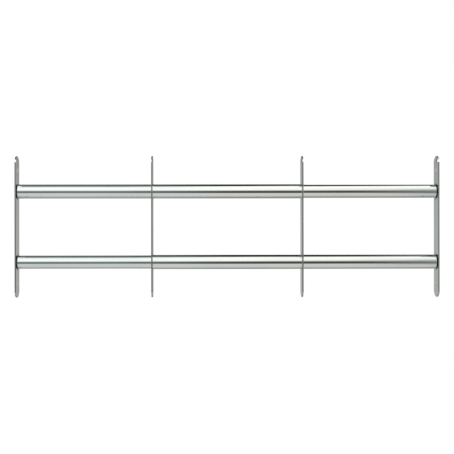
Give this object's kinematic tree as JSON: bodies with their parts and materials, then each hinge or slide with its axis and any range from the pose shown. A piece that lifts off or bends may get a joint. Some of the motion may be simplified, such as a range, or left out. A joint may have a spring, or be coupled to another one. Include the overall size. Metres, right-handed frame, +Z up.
{
  "type": "window security bar",
  "caption": "Extendable window security grille: telescopic round tubes through flat bars, screwed between the sides of a window opening.",
  "frame": {"origin": "centre of the grille's box at the width it is set to at rest, midway between the tubes", "axes": "+X along the tubes, towards the half that slides; +Z up; -Y is the front, where the bars' notches open"},
  "size_m": [0.8964, 0.04, 0.3],
  "materials": {
    "zinc_tube": "bright zinc plated, polished welded tube",
    "zinc_bar": "zinc plated rolled flat steel, satin",
    "zinc_stud": "zinc plated turned steel",
    "weld_metal": "plated weld bead, rippled",
    "guide_plastic": "black polyethylene"
  },
  "bodies": {
    "left_half": {"left_end_bar": "zinc_bar", "right_middle_bar": "zinc_bar", "upper_outer_tube": "zinc_tube", "lower_inner_tube": "zinc_tube", "upper_outer_tube_stud": "zinc_stud", "lower_inner_tube_stud": "zinc_stud", "lower_inner_tube_plug": "guide_plastic", "upper_outer_tube_weld": "weld_metal"},
    "right_half": {"right_end_bar": "zinc_bar", "left_middle_bar": "zinc_bar", "lower_outer_tube": "zinc_tube", "upper_inner_tube": "zinc_tube", "lower_outer_tube_stud": "zinc_stud", "upper_inner_tube_stud": "zinc_stud", "upper_inner_tube_plug": "guide_plastic", "lower_outer_tube_weld": "weld_metal"}
  },
  "joints": [
    {"name": "width_slide", "type": "slide", "parent": "left_half", "child": "right_half", "axis": [1, 0, 0], "range_m": [-0.1965, 0.1535]}
  ]
}
